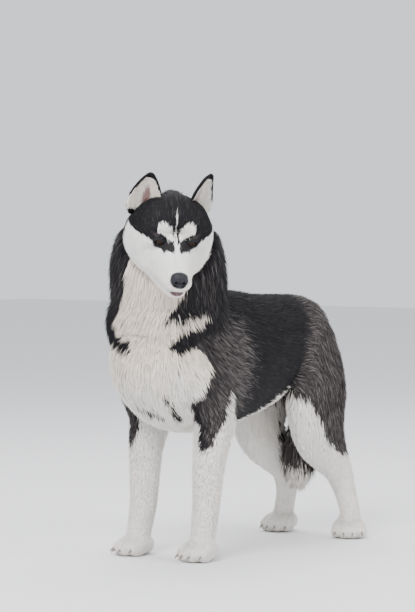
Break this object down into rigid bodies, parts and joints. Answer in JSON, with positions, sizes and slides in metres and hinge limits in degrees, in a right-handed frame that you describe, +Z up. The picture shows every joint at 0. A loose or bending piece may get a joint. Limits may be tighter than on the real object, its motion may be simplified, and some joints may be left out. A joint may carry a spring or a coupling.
{
  "type": "siberian husky",
  "caption": "Standing Siberian husky, life size, black and white thick coat, erect ears, head turned to its left, tail hanging low.",
  "frame": {"origin": "middle of the bounding box on the floor that the paws stand on", "axes": "the dog faces -Y, its left side is +X, +Z is up"},
  "size_m": [0.331, 0.7708, 0.8059],
  "materials": {
    "white_coat": "matte fur",
    "black_coat": "matte fur",
    "grizzled_coat": "matte fur",
    "eye": "glossy dark brown",
    "nose_leather": "moist fine grain",
    "claw_horn": "satin horn"
  },
  "bodies": {
    "root": {"torso": "white_coat", "neck": "white_coat", "foreleg_left": "white_coat", "foreleg_right": "white_coat", "hindleg_left": "white_coat", "hindleg_right": "white_coat", "forepaw_left": "white_coat", "forepaw_right": "white_coat", "hindpaw_left": "white_coat", "hindpaw_right": "white_coat", "head": "black_coat", "ear_left": "black_coat", "ear_right": "black_coat", "tail": "grizzled_coat", "nose": "nose_leather", "eye_left": "eye", "eye_right": "eye", "claw_fore_left_1": "claw_horn", "claw_fore_left_2": "claw_horn", "claw_fore_left_3": "claw_horn", "claw_fore_left_4": "claw_horn", "claw_fore_right_1": "claw_horn", "claw_fore_right_2": "claw_horn", "claw_fore_right_3": "claw_horn", "claw_fore_right_4": "claw_horn", "claw_hind_left_1": "claw_horn", "claw_hind_left_2": "claw_horn", "claw_hind_left_3": "claw_horn", "claw_hind_left_4": "claw_horn", "claw_hind_right_1": "claw_horn", "claw_hind_right_2": "claw_horn", "claw_hind_right_3": "claw_horn", "claw_hind_right_4": "claw_horn"}
  },
  "joints": []
}
